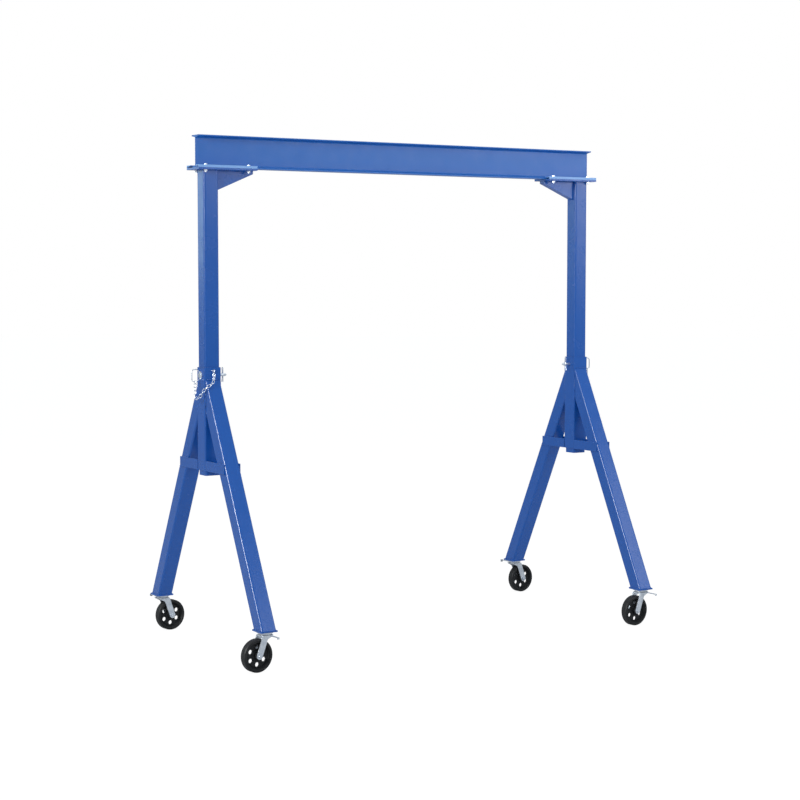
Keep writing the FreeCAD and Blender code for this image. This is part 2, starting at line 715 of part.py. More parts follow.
def make_chain(end, side, turn):
    """Chain from a ring on the handle to a staple on the sleeve, as one fixed run of links."""
    wire, pitch, wide = size("link_wire"), size("link_pitch"), size("link_wide")
    ring_up = size("-bail_tall / 2 + bail_size / 2 + running_play") + wire / 2 - RING_RADIUS
    grow = size("sleeve_half") / ROUTE_HALF
    route = [FreeCAD.Vector(x * grow, y * grow, z) for x, y, z in CHAIN_ROUTE]
    route[0].z = ring_up - RING_RADIUS + (wire + LINK_SLACK) / 2
    spots = evenly_along(route, pitch - LINK_SLACK)
    ring = Part.makeTorus(RING_RADIUS, wire / 2, FreeCAD.Vector(spots[0].x, 0, ring_up), ALONG_X)
    solids = [ring]
    for index, (start, stop) in enumerate(zip(spots, spots[1:])):
        direction = (stop - start).normalize()
        flat = FreeCAD.Rotation(ALONG_X, 0 if index % 2 else 90)
        link = chain_link(wire, start.distanceToPoint(stop) + LINK_SLACK, wide)
        link.Placement = FreeCAD.Placement((start + stop) / 2, FreeCAD.Rotation(ALONG_X, direction).multiply(flat))
        solids.append(link)
    bar = spots[-1] - direction * (wire + LINK_SLACK) / 2
    face = -size("sleeve_half")
    legs = [bar.x - wide, bar.x + wide]
    staple = [FreeCAD.Vector(legs[0], face, bar.z), FreeCAD.Vector(legs[0], bar.y, bar.z)]
    staple += [FreeCAD.Vector(legs[1], bar.y, bar.z), FreeCAD.Vector(legs[1], face, bar.z)]
    solids.append(bent_wire(staple, 1.3 * wire, wire))
    chain = doc.addObject("Part::Feature", end + "_pin_chain")
    chain.Shape = Part.makeCompound(solids)
    place(chain, x=side + "post_x", z="pin_height", turn=turn)
    keep_node(chain, end + "_pin_chain")


# ---------------------------------------------------------------- casters
def caster_name(end, where, piece):
    return "%s_%s_%s" % (end, where, piece)


def make_caster_plate(end, side, where, across, turn):
    """The fixed half of the swivel: round plate, upper race and king pin."""
    name = caster_name(end, where, "caster_plate")
    plate_low = "caster_height - race_plate_thick"
    plate = add_cylinder(name + "_disc", "race_plate_dia / 2", "race_plate_thick", z=plate_low)
    race = add_cylinder(name + "_race", "race_dia / 2", "race_tall", z="race_under")
    king = add_cylinder(name + "_king", "king_dia / 2", "caster_height - crown_under", z="crown_under")
    whole = join("MultiFuse", name, [plate, race, king])
    place(whole, x=side + "post_x", y=across + "leg_spread", turn=turn)
    keep_node(whole, name)


def make_fork(end, side, where, across, turn):
    """The turning half: crown, lower race, two legs down to the axle, and the lock lever."""
    name = caster_name(end, where, "fork")
    body = new_body(name)
    outline = new_sketch(body, "XZ_Plane")
    front, back, end_radius = size("crown_front"), -size("crown_back"), size("fork_end")
    top, under, axle_up = size("crown_top"), size("crown_under"), size("wheel_radius")
    axle = FreeCAD.Vector(-size("swivel_lead"), axle_up, 0)
    low_front = axle + FreeCAD.Vector(end_radius, 0, 0)
    low_back = axle - FreeCAD.Vector(end_radius, 0, 0)
    high_front = FreeCAD.Vector(front, top, 0)
    high_back = FreeCAD.Vector(back, top, 0)
    lip = FreeCAD.Vector(front, under, 0)
    neck = FreeCAD.Vector(-size("neck_front"), under - size("neck_drop"), 0)
    flat = outline.addGeometry(Part.LineSegment(high_back, high_front), False)
    edge = outline.addGeometry(Part.LineSegment(high_front, lip), False)
    flare = outline.addGeometry(Part.LineSegment(lip, neck), False)
    fore = outline.addGeometry(Part.LineSegment(neck, low_front), False)
    bottom = axle - FreeCAD.Vector(0, end_radius, 0)
    bend = outline.addGeometry(Part.Arc(low_back, bottom, low_front), False)
    aft = outline.addGeometry(Part.LineSegment(low_back, high_back), False)
    for before, after in ((flat, edge), (edge, flare), (flare, fore), (aft, flat)):
        outline.addConstraint(Sketcher.Constraint("Coincident", before, 2, after, 1))
    outline.addConstraint(Sketcher.Constraint("Tangent", fore, 2, bend, 2))
    outline.addConstraint(Sketcher.Constraint("Tangent", bend, 1, aft, 1))
    hold(outline, "DistanceX", bend, 3, "-swivel_lead", "axle_across")
    hold(outline, "DistanceY", bend, 3, "wheel_radius", "axle_up")
    hold(outline, "DistanceX", flat, 1, "-crown_back", "back_across")
    hold(outline, "DistanceY", flat, 1, "crown_top", "back_up")
    hold(outline, "DistanceX", flat, 2, "crown_front", "front_across")
    hold(outline, "DistanceY", flat, 2, "crown_top", "front_up")
    hold(outline, "DistanceX", edge, 2, "crown_front", "lip_across")
    hold(outline, "DistanceY", edge, 2, "crown_under", "lip_up")
    hold(outline, "DistanceX", flare, 2, "-neck_front", "neck_across")
    hold(outline, "DistanceY", flare, 2, "crown_under - neck_drop", "neck_up")
    number = outline.addConstraint(Sketcher.Constraint("Radius", bend, end_radius))
    outline.renameConstraint(number, "end_radius")
    bind(outline, "Constraints.end_radius", "fork_end")
    add_pad(body, outline, "2 * fork_outer", both_ways=True)
    gap = new_sketch(body, "YZ_Plane")
    draw_rectangle(gap, "-fork_inner", "fork_inner", "0", "crown_under")
    add_pocket(body, gap)
    race = body.newObject("PartDesign::AdditiveCylinder", name + "_race")
    bind(race, "Radius", "race_dia / 2")
    bind(race, "Height", "race_low")
    bind(race, "Placement.Base.z", "crown_top")
    doc.recompute()
    king_hole = new_sketch(body, "XY_Plane")
    draw_circle(king_hole, "0", "0", "king_dia / 2 + running_play")
    add_pocket(body, king_hole)
    axle_hole = new_sketch(body, "XZ_Plane")
    draw_circle(axle_hole, "-swivel_lead", "wheel_radius", "axle_dia / 2 + running_play")
    add_pocket(body, axle_hole)
    lever = new_sketch(body, "YZ_Plane")
    draw_outline(
        lever,
        [
            ("-lever_reach", "crown_top + race_low"),
            ("-lever_reach", "crown_top + race_low - lever_tab"),
            ("-lever_reach + lever_tip", "crown_top + race_low - lever_tab"),
            ("-lever_reach + lever_tip", "crown_top"),
            ("-race_dia / 2 + 8", "crown_top"),
            ("-race_dia / 2 + 8", "crown_top + race_low"),
        ],
    )
    add_pad(body, lever, "lever_wide", both_ways=True)
    place(body, x=side + "post_x", y=across + "leg_spread", turn=turn + " + caster_yaw")
    keep_node(body, name)


def place_at_axle(thing, side, across, turn):
    heading = "(%s + caster_yaw)" % turn
    place(
        thing,
        x="%spost_x - swivel_lead * cos%s" % (side, heading),
        y="%sleg_spread - swivel_lead * sin%s" % (across, heading),
        z="wheel_radius",
        turn=heading,
    )


def make_axle(end, side, where, across, turn):
    """A bolt through fork and wheel, with its nut and the washers beside the hub."""
    name = caster_name(end, where, "axle")
    washer = "hub_gap - running_play"
    pieces = [
        add_cylinder(name + "_shank", "axle_dia / 2", "2 * fork_outer + nut_tall + 3", y="-fork_outer", axis=ALONG_Y),
        add_hexagon(name + "_head", "head_flats", "head_tall", y="-fork_outer - head_tall", axis=ALONG_Y),
        add_hexagon(name + "_nut", "head_flats", "nut_tall", y="fork_outer", axis=ALONG_Y),
        add_cylinder(name + "_near", "axle_dia", washer, y="-fork_inner", axis=ALONG_Y),
        add_cylinder(name + "_far", "axle_dia", washer, y="fork_inner - (%s)" % washer, axis=ALONG_Y),
    ]
    whole = join("MultiFuse", name, pieces)
    place_at_axle(whole, side, across, turn)
    keep_node(whole, name)


def make_wheel(end, side, where, across, turn):
    """A moulded wheel: hub, web with round holes, and rim with a flat tread."""
    name = caster_name(end, where, "wheel")
    body = new_body(name)
    section = new_sketch(body, "YZ_Plane")
    bore = "axle_dia / 2 + running_play"
    half = [
        ("hub_half", bore),
        ("hub_half", "hub_radius - 2"),
        ("hub_half - 2", "hub_radius"),
        ("web_half + 3", "hub_radius + 2"),
        ("web_half", "hub_radius + 6"),
        ("web_half", "rim_inner - 5"),
        ("wheel_half - 3", "rim_inner + 5"),
        ("wheel_half", "rim_inner + 8"),
        ("wheel_half", "wheel_radius - tread_round"),
        ("wheel_half - 0.35 * tread_round", "wheel_radius - 0.35 * tread_round"),
        ("wheel_half - tread_round", "wheel_radius"),
    ]
    other_half = [("-(%s)" % across_text, up) for across_text, up in reversed(half)]
    draw_outline(section, half + other_half)
    turned = body.newObject("PartDesign::Revolution", name + "_turned")
    turned.Profile = section
    turned.ReferenceAxis = (section, ["H_Axis"])
    turned.Angle = 360
    doc.recompute()
    hole_sketch = new_sketch(body, "XZ_Plane")
    draw_circle(hole_sketch, "0", "-wheel_hole_ring / 2", "wheel_hole_dia / 2")
    hole = add_pocket(body, hole_sketch)
    ring = body.newObject("PartDesign::PolarPattern", name + "_holes")
    ring.Originals = [hole]
    ring.Axis = (origin_part(body, "Y_Axis"), [""])
    ring.Angle = 360
    bind(ring, "Occurrences", "wheel_hole_count")
    body.Tip = ring
    doc.recompute()
    place_at_axle(body, side, across, turn)
    keep_node(body, name)


# ---------------------------------------------------------------- assembly
def make_end(end, side, turn):
    """Everything at one end. side is the sign of X there, and turn its half turn about Z."""
    make_post(end, side, turn)
    make_top_plate(end, side, turn)
    make_knee_brace(end, side, turn)
    make_clamp_bars(end, side, turn)
    make_clamp_bolts(end, side, turn)
    make_sleeve(end, side, turn)
    make_braces(end, side, turn)
    make_lock_pin(end, side, turn)
    make_hairpin(end, side, turn)
    make_chain(end, side, turn)
    for where, across, half_turn in (("front", "-", "0"), ("rear", "", "180")):
        make_leg(end, side, where, "180" if where == "front" else "0")
        make_foot(end, side, where, across)
        make_caster_plate(end, side, where, across, half_turn)
        make_fork(end, side, where, across, half_turn)
        make_axle(end, side, where, across, half_turn)
        make_wheel(end, side, where, across, half_turn)


def check_and_write():
    doc.recompute()
    for thing in doc.Objects:
        if "Invalid" in thing.State or "Error" in thing.State:
            raise RuntimeError("%s failed: %s" % (thing.Label, thing.State))
    os.makedirs("parts", exist_ok=True)
    for node in nodes:
        if node.Shape.isNull() or not node.Shape.isValid() or not node.Shape.Solids:
            raise RuntimeError("%s has no valid solid" % node.Label)
        node.Shape.exportStep("parts/%s.step" % node.Label)
        print("%-28s %2d solid(s) %12.0f mm3" % (node.Label, len(node.Shape.Solids), node.Shape.Volume))


make_beam()
make_end("left", "-", "0")
make_end("right", "", "180")
check_and_write()
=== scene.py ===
"""Gantry crane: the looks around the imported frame. Metres, X along the beam, Z up."""

import math

import bmesh
import bpy
from mathutils import Matrix, Vector


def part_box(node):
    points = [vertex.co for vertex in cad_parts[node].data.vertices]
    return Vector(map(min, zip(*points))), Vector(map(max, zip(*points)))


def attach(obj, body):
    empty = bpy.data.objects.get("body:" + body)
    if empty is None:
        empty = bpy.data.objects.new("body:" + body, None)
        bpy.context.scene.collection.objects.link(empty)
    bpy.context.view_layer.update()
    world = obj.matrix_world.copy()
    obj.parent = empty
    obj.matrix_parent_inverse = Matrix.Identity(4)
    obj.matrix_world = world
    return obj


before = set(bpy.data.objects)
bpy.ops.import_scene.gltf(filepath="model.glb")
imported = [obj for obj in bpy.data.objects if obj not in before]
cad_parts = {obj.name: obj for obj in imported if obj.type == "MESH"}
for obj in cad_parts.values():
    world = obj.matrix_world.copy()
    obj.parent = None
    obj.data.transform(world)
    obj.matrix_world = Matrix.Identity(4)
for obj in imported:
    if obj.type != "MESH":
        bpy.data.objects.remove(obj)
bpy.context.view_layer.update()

ENDS = (("left", -1), ("right", 1))
WHERES = (("front", -1), ("rear", 1))
CASTER_YAW = math.radians(6)
WHEEL_AXIS = (-math.sin(CASTER_YAW), math.cos(CASTER_YAW), 0.0)
LEG_LEAN = math.radians(27)


# ------------------------------------------------------------------ shader helpers
class Shader:
    """A material's node tree, built by short calls. A socket is a value, or a node's output."""

    def __init__(self, name):
        self.material = bpy.data.materials.new(name)
        self.material.use_nodes = True
        self.tree = self.material.node_tree
        self.tree.nodes.clear()
        self.output = self.tree.nodes.new("ShaderNodeOutputMaterial")

    def fill(self, socket, value):
        """Links a node's output to a socket, or sets a plain value on it."""
        if isinstance(value, bpy.types.NodeSocket):
            self.tree.links.new(value, socket)
        else:
            socket.default_value = value

    def node(self, kind, settings=None, out=0, **sockets):
        """Adds a node. A socket goes by its name, or by its number as i0, i1 and so on."""
        made = self.tree.nodes.new("ShaderNode" + kind)
        for field, value in (settings or {}).items():
            setattr(made, field, value)
        for key, value in sockets.items():
            numbered = key[0] == "i" and key[1:].isdigit()
            self.fill(made.inputs[int(key[1:]) if numbered else key.replace("_", " ")], value)
        return made.outputs[out]

    def math(self, operation, a, b=0.0, c=0.0, clamp=False):
        return self.node("Math", {"operation": operation, "use_clamp": clamp}, i0=a, i1=b, i2=c)

    def place(self):
        """Object coordinates, in metres."""
        return self.node("TexCoord", out=3)

    def noise(self, vector, scale, detail=2.0, rough=0.5):
        return self.node("TexNoise", Vector=vector, Scale=scale, Detail=detail, Roughness=rough)

    def remap(self, value, low, high, to_low=0.0, to_high=1.0):
        return self.node("MapRange", i0=value, i1=low, i2=high, i3=to_low, i4=to_high)

    def mix(self, factor, a, b):
        return self.node("Mix", {"data_type": "RGBA"}, out=2, i0=factor, i6=a, i7=b)

    def bump(self, height, distance, normal):
        return self.node("Bump", Strength=1.0, Distance=distance, Height=height, Normal=normal)

    def edges(self, radius, gain=6.0):
        """Rounded normal, and a mask that is 1 on outside and inside corners."""
        rounded = self.node("Bevel", {"samples": 6}, Radius=radius)
        flat = self.node("NewGeometry", out=1)
        along = self.node("VectorMath", {"operation": "DOT_PRODUCT"}, out=1, i0=rounded, i1=flat)
        return rounded, self.math("MULTIPLY", self.math("SUBTRACT", 1.0, along), gain, clamp=True)

    def surface(self, **sockets):
        """The finished material, from the sockets of a Principled shader."""
        self.tree.links.new(self.node("BsdfPrincipled", **sockets), self.output.inputs[0])
        return self.material


def rgb(red, green, blue):
    return (red, green, blue, 1.0)


# ------------------------------------------------------------------ materials
def paint(name, deep, light, edge, rough=0.3):
    """Powder coat: a slow drift of colour, orange peel, a paler colour on sharp edges for thin paint and a
    painted highlight, a little dust on top.
    """
    s = Shader(name)
    at = s.place()
    drift = s.remap(s.noise(at, 1.7, 3.0), 0.35, 0.65)
    colour = s.mix(drift, deep, light)
    rounded, corner = s.edges(0.0014, 3.0)
    # Paler on sharp edges: thin paint, and a painted highlight along the corners.
    colour = s.mix(s.math("MULTIPLY", corner, 0.45), colour, edge)
    up = s.node("SeparateXYZ", out=2, Vector=s.node("NewGeometry", out=1))
    patches = s.remap(s.noise(at, 9.0, 4.0, 0.65), 0.40, 0.75, 0.02, 0.12)
    dust = s.math("MULTIPLY", s.remap(up, 0.75, 1.0), patches)
    colour = s.mix(dust, colour, rgb(0.30, 0.36, 0.47))
    gloss = s.remap(s.noise(at, 11.0, 3.0), 0.3, 0.7, rough - 0.03, rough + 0.04)
    gloss = s.math("MULTIPLY_ADD", dust, 0.9, gloss)
    peel = s.bump(s.noise(at, 420.0, 2.0), 0.00006, rounded)
    return s.surface(Base_Color=colour, Roughness=gloss, Normal=peel, Specular_IOR_Level=0.4)


def zinc(name, bright, dull, rough=0.34, grain=1.0):
    """Bright zinc plate: faint spangle, a cloudy gloss and a fine bumpy grain."""
    s = Shader(name)
    at = s.place()
    cloud = s.remap(s.noise(at, 24.0, 4.0, 0.6), 0.35, 0.65)
    flake = s.node("TexVoronoi", out=1, Vector=at, Scale=240.0)
    flake = s.node("SeparateColor", out=0, Color=flake)
    colour = s.mix(cloud, dull, bright)
    colour = s.mix(s.math("MULTIPLY", flake, 0.22 * grain), colour, rgb(0.86, 0.89, 0.93))
    rounded, corner = s.edges(0.0010)
    # Near white on outside and inside corners: a painted highlight.
    colour = s.mix(s.math("MULTIPLY", corner, 0.35), colour, rgb(0.90, 0.92, 0.95))
    gloss = s.math("MULTIPLY_ADD", cloud, -0.10, rough + 0.06)
    gloss = s.math("MULTIPLY_ADD", flake, 0.08, gloss)
    peel = s.bump(s.noise(at, 900.0, 2.0), 0.00004, rounded)
    return s.surface(Base_Color=colour, Metallic=0.85, Roughness=gloss, Normal=peel)


def moulded(name, centre, axis):
    """Black moulded wheel: turning lines on the faces, scuffed tread, a paler grey on outside and inside
    corners as a painted highlight on the edges and grey dust in the hollows.
    """
    s = Shader(name)
    at = s.place()
    arm = s.node("VectorMath", {"operation": "SUBTRACT"}, i0=at, i1=tuple(centre))
    along = s.node("VectorMath", {"operation": "DOT_PRODUCT"}, out=1, i0=arm, i1=tuple(axis))
    square = s.node("VectorMath", {"operation": "DOT_PRODUCT"}, out=1, i0=arm, i1=arm)
    radius = s.math("SQRT", s.math("SUBTRACT", square, s.math("MULTIPLY", along, along)))
    lines = s.math("SINE", s.math("MULTIPLY", radius, 2 * math.pi / 0.0021))
    wide = s.math("SINE", s.math("MULTIPLY", radius, 2 * math.pi / 0.0105))
    mottle = s.remap(s.noise(at, 45.0, 4.0, 0.6), 0.35, 0.65)
    colour = s.mix(mottle, rgb(0.0070, 0.0078, 0.0088), rgb(0.0130, 0.0142, 0.0158))
    ring = s.math("MULTIPLY", s.remap(wide, 0.4, 1.0), 0.25)
    colour = s.mix(ring, colour, rgb(0.040, 0.043, 0.047))
    scuffs = s.remap(s.noise(at, 70.0, 4.0, 0.7), 0.45, 0.65, 0.15, 0.8)
    worn = s.math("MULTIPLY", s.remap(radius, 0.0985, 0.1012), scuffs)
    colour = s.mix(worn, colour, rgb(0.034, 0.034, 0.034))
    rounded, corner = s.edges(0.0012)
    # Paler on outside and inside corners: a painted highlight on the edges, grey dust in the hollows.
    colour = s.mix(s.math("MULTIPLY", corner, 0.30), colour, rgb(0.075, 0.080, 0.086))
    gloss = s.math("ADD", s.remap(mottle, 0.0, 1.0, 0.38, 0.50), s.math("MULTIPLY", worn, 0.25))
    height = s.math("ADD", s.math("MULTIPLY", lines, 0.5), s.math("MULTIPLY", s.noise(at, 600.0, 3.0), 0.9))
    grain = s.bump(height, 0.00007, rounded)
    return s.surface(Base_Color=colour, Roughness=gloss, Normal=grain, Specular_IOR_Level=0.22)


def plain_metal(name, colour, rough):
    """Dark machined steel for bearings and other small parts."""
    s = Shader(name)
    at = s.place()
    cloud = s.remap(s.noise(at, 90.0, 3.0), 0.35, 0.65)
    shade = s.mix(cloud, colour, tuple(min(1.0, 1.5 * c) for c in colour[:3]) + (1.0,))
    gloss = s.math("MULTIPLY_ADD", cloud, 0.12, rough)
    rounded = s.edges(0.0006)[0]
    return s.surface(Base_Color=shade, Metallic=0.9, Roughness=gloss, Normal=rounded)


# Each paint's last colour goes on its sharp edges: thin paint and a painted highlight.
BLUE = paint(
    "blue_paint", rgb(0.0065, 0.0890, 0.3900), rgb(0.0090, 0.0950, 0.4080), rgb(0.110, 0.260, 0.640), 0.25
)
BEAM_BLUE = paint(
    "beam_paint", rgb(0.0110, 0.1330, 0.4850), rgb(0.0140, 0.1410, 0.5050), rgb(0.120, 0.270, 0.640), 0.36
)
# Far lighter than the frame's blue: a painted highlight along the clamp bars.
CLAMP_HIGHLIGHT_BLUE = paint(
    "clamp_highlight_paint", rgb(0.1700, 0.3700, 0.7400), rgb(0.2000, 0.4000, 0.7700), rgb(0.420, 0.620, 0.900), 0.30
)
ZINC = zinc("zinc_plate", rgb(0.62, 0.67, 0.72), rgb(0.44, 0.49, 0.55))
WIRE = zinc("zinc_wire", rgb(0.72, 0.77, 0.82), rgb(0.54, 0.60, 0.67), 0.26, 0.6)
DARK_STEEL = plain_metal("bearing_steel", rgb(0.10, 0.10, 0.11), 0.38)

for name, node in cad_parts.items():
    if name.endswith("_wheel"):
        low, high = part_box(name)
        skin = moulded(name + "_phenolic", (low + high) / 2, WHEEL_AXIS)
    elif name == "beam":
        skin = BEAM_BLUE
    elif name.endswith("_clamp_bars"):
        skin = CLAMP_HIGHLIGHT_BLUE
    elif name.endswith(("_fork", "_axle", "_caster_plate", "_clamp_bolts")):
        skin = ZINC
    elif name.endswith(("_lock_pin", "_hairpin", "_pin_chain")):
        skin = WIRE
    else:
        skin = BLUE
    node.data.materials.clear()
    node.data.materials.append(skin)


# ------------------------------------------------------------------ detail pieces
def add_piece(name, shape, skin, body, smooth=True):
    """Puts a bmesh into the scene as a piece that rides on a body."""
    bmesh.ops.recalc_face_normals(shape, faces=shape.faces)
    for face in shape.faces:
        face.smooth = smooth
    mesh = bpy.data.meshes.new(name)
    shape.to_mesh(mesh)
    shape.free()
    mesh.materials.append(skin)
    piece = bpy.data.objects.new(name, mesh)
    bpy.context.scene.collection.objects.link(piece)
    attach(piece, body)
    return piece


def bridge(shape, rings, closed):
    """Quads between rings of vertices that follow each other."""
    last = len(rings) if closed else len(rings) - 1
    for index in range(last):
        near, far = rings[index], rings[(index + 1) % len(rings)]
        count = len(near)
        for step in range(count):
            shape.faces.new((near[step], near[(step + 1) % count], far[(step + 1) % count], far[step]))
    if not closed:
        shape.faces.new(rings[0])
        shape.faces.new(list(reversed(rings[-1])))


def lathe(shape, place, axis, profile, segments=32):
    """Turns a closed profile of (radius, along) round an axis through a place."""
    turned = Vector(axis).normalized().to_track_quat("Z", "Y").to_matrix()
    rings = []
    for step in range(segments):
        angle = 2 * math.pi * step / segments
        out = Vector((math.cos(angle), math.sin(angle), 0.0))
        ring = [turned @ (out * radius + Vector((0, 0, along))) for radius, along in profile]
        rings.append([shape.verts.new(Vector(place) + spot) for spot in ring])
    bridge(shape, rings, True)


def resample(points, spacing, closed):
    """Points a spacing apart along straight runs."""
    runs = list(zip(points, points[1:] + points[:1] if closed else points[1:]))
    lengths = [(b - a).length for a, b in runs]
    count = max(2, round(sum(lengths) / spacing))
    made = []
    for step in range(count if closed else count + 1):
        left = sum(lengths) * step / count
        for (a, b), length in zip(runs, lengths):
            if left <= length + 1e-9:
                made.append(a.lerp(b, left / length))
                break
            left -= length
    return made


def weld(shape, points, radius, closed=False, pitch=0.0045):
    """A bead with the scallops of one pass: it swells and pulls in along its run."""
    spots = resample([Vector(p) for p in points], pitch / 3, closed)
    count = len(spots)
    rings = []
    for index, spot in enumerate(spots):
        before = spots[index - 1] if closed or index else spot
        after = spots[(index + 1) % count] if closed or index < count - 1 else spot
        ahead = (after - before).normalized()
        turned = ahead.to_track_quat("Z", "Y").to_matrix()
        swell = 1.0 + 0.13 * math.cos(2 * math.pi * index / 3) + 0.07 * math.sin(index * 0.37)
        ring = []
        for step in range(8):
            angle = 2 * math.pi * step / 8
            offset = Vector((math.cos(angle), math.sin(angle), 0.0)) * radius * swell
            ring.append(shape.verts.new(spot + turned @ offset))
        rings.append(ring)
    bridge(shape, rings, closed)


def rounded_loop(centre, half_x, half_y, radius, z, steps=5):
    """A rectangle with round corners, at a height."""
    loop = []
    for quarter, (sx, sy) in enumerate(((1, 1), (-1, 1), (-1, -1), (1, -1))):
        for step in range(steps + 1):
            angle = math.pi / 2 * (quarter + step / steps)
            x = centre.x + sx * (half_x - radius) + radius * math.cos(angle)
            y = centre.y + sy * (half_y - radius) + radius * math.sin(angle)
            loop.append(Vector((x, y, z)))
    return loop


def middle(name):
    """Centre of a node's box."""
    low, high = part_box(name)
    return (low + high) / 2


def flat_ring(inner, outer, thick, edge, rise):
    """Profile of a washer or a seal, whose outer edges are chamfered by edge across and rise along."""
    return [
        (inner, 0.0),
        (outer - edge, 0.0),
        (outer, rise),
        (outer, thick - rise),
        (outer - edge, thick),
        (inner, thick),
    ]


UP = Vector((0, 0, 1))
POST_HALF = 0.0508
TUBE_CORNER = 0.0127
SLEEVE_HALF = 0.05715
SLANT_HALF = POST_HALF / math.cos(LEG_LEAN)
LEG_WELD_OUT = 0.0008
BRACE_THICK = 0.0063
BOLT_INSET = 0.0110
WASHER_THICK = 0.0024
THREAD_TURNS = 5
THREAD_PITCH = 0.00115
THREAD_START = 0.0004
SEAL_DROP = 0.0032
NIPPLE_OUT = 0.0415
NIPPLE_DROP = 0.0036
FORK_OUTER = 0.03675
NUT_TALL = 0.0111
PAD_OUT = 0.1455
PAD_DROP = 0.0060
PAD_SIZE = (0.0145, 0.0066, 0.0128)
HUB_END = 0.0276
# A raised ring on the wheel: its radius, the face it stands on, and how far it stands out.
WHEEL_RINGS = ((0.0345, 0.0055, 0.0016), (0.0690, 0.0055, 0.0012), (0.0880, 0.0254, 0.0008))


def weld_frame(end):
    """Welds of the A-frame: legs to sleeve, legs to feet, and braces to legs."""
    shape = bmesh.new()
    axis_x = middle(end + "_sleeve").x
    run = 2 * POST_HALF / math.sin(LEG_LEAN)
    for where, across in WHERES:
        low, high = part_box(f"{end}_{where}_leg")
        face = across * (SLEEVE_HALF + LEG_WELD_OUT)
        for x in (axis_x - POST_HALF, axis_x + POST_HALF):
            weld(shape, [(x, face, high.z - run + 0.012), (x, face, high.z - 0.014)], 0.0032)
        weld(shape, [(axis_x - 0.040, face, high.z), (axis_x + 0.040, face, high.z)], 0.0034)
        foot = middle(f"{end}_{where}_foot")
        weld(shape, rounded_loop(foot, POST_HALF, SLANT_HALF, TUBE_CORNER, low.z), 0.0030, True)
    low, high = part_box(end + "_braces")
    foot_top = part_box(end + "_front_foot")[1].z
    half = SLANT_HALF - TUBE_CORNER
    for inside in (low.x + BRACE_THICK, high.x - BRACE_THICK):
        for z in (low.z, high.z):
            for where, across in WHERES:
                foot = middle(f"{end}_{where}_foot")
                leg_y = foot.y - across * math.tan(LEG_LEAN) * (z - foot_top)
                weld(shape, [(inside, leg_y - half, z), (inside, leg_y + half, z)], 0.0024)
    add_piece(end + "_frame_welds", shape, BLUE, "frames")


def weld_post(end, side):
    """Welds of the post: under the top plate and round the knee brace."""
    shape = bmesh.new()
    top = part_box(end + "_post")[1].z
    weld(shape, rounded_loop(middle(end + "_post"), POST_HALF, POST_HALF, TUBE_CORNER, top), 0.0032, True)
    low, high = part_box(end + "_knee_brace")
    root, tip = (high.x, low.x) if side > 0 else (low.x, high.x)
    for y in (low.y, high.y):
        weld(shape, [(root, y, low.z + 0.004), (root, y, high.z - 0.003)], 0.0028)
        weld(shape, [(root, y, high.z), (tip, y, high.z)], 0.0026)
    add_piece(end + "_post_welds", shape, BLUE, "beam_unit")


def dress_bolts(end):
    """Washers under the top plate, and threads on the bolt ends that stand out below."""
    shape = bmesh.new()
    low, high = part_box(end + "_clamp_bolts")
    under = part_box(end + "_top_plate")[0].z
    washer = flat_ring(0.0070, 0.0140, WASHER_THICK, 0.0004, 0.0004)
    thread = [(0.0052, THREAD_START)]
    for turn in range(THREAD_TURNS):
        z = THREAD_START + turn * THREAD_PITCH
        thread += [(0.00590, z), (0.00655, z + 0.00055)]
    thread_end = THREAD_START + THREAD_TURNS * THREAD_PITCH
    thread += [(0.00590, thread_end), (0.0052, thread_end)]
    for x in (low.x + BOLT_INSET, high.x - BOLT_INSET):
        for y in (low.y + BOLT_INSET, high.y - BOLT_INSET):
            lathe(shape, (x, y, under - WASHER_THICK), UP, washer)
            lathe(shape, (x, y, low.z), UP, thread, 20)
    add_piece(end + "_bolt_hardware", shape, ZINC, "beam_unit")


def dress_swivel(name, facing):
    """Ball seal, grease nipple, axle washers and thread, and lever pad, on the caster's fork."""
    body = name + "_swivel"
    across = Vector(WHEEL_AXIS) * facing
    ahead = Vector((math.cos(CASTER_YAW), math.sin(CASTER_YAW), 0.0)) * facing
    foot = middle(name + "_foot")
    race_top = Vector((foot.x, foot.y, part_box(name + "_fork")[1].z))
    shape = bmesh.new()
    lathe(shape, race_top - UP * SEAL_DROP, UP, flat_ring(0.0395, 0.0431, 0.0030, 0.0008, 0.0008), 64)
    add_piece(name + "_race_seal", shape, DARK_STEEL, body)

    shape = bmesh.new()
    out = (ahead * 0.8 - across * 0.6).normalized()
    nipple = [
        (0.0001, 0.0),
        (0.0035, 0.0),
        (0.0035, 0.0030),
        (0.0020, 0.0038),
        (0.0020, 0.0058),
        (0.0029, 0.0068),
        (0.0029, 0.0078),
        (0.0012, 0.0094),
        (0.0001, 0.0094),
    ]
    lathe(shape, race_top + out * NIPPLE_OUT - UP * NIPPLE_DROP, out, nipple, 16)
    add_piece(name + "_grease_nipple", shape, WIRE, body)

    hub = middle(name + "_wheel")
    shape = bmesh.new()
    washer = flat_ring(0.0066, 0.0132, 0.0010, 0.0004, 0.0002)
    for way in (-1, 1):
        lathe(shape, hub + across * way * FORK_OUTER, across * way, washer, 32)
    thread = [(0.0058, 0.0)]
    for turn in range(4):
        thread += [(0.00655, 0.00028 + turn * 0.0007), (0.0060, 0.00063 + turn * 0.0007)]
    thread += [(0.0046, 0.00322), (0.0001, 0.00322), (0.0001, 0.0)]
    lathe(shape, hub + across * (FORK_OUTER + NUT_TALL), across, thread, 24)
    add_piece(name + "_axle_hardware", shape, ZINC, body)

    shape = bmesh.new()
    tip = race_top - across * PAD_OUT - UP * PAD_DROP
    turned = Matrix((ahead, across, UP)).transposed()
    for vert in bmesh.ops.create_cube(shape, size=1.0)["verts"]:
        vert.co = tip + turned @ (vert.co * Vector(PAD_SIZE))
    bmesh.ops.bevel(shape, geom=list(shape.edges), offset=0.0018, segments=3, profile=0.5, affect="EDGES")
    add_piece(name + "_lever_pad", shape, WIRE, body)


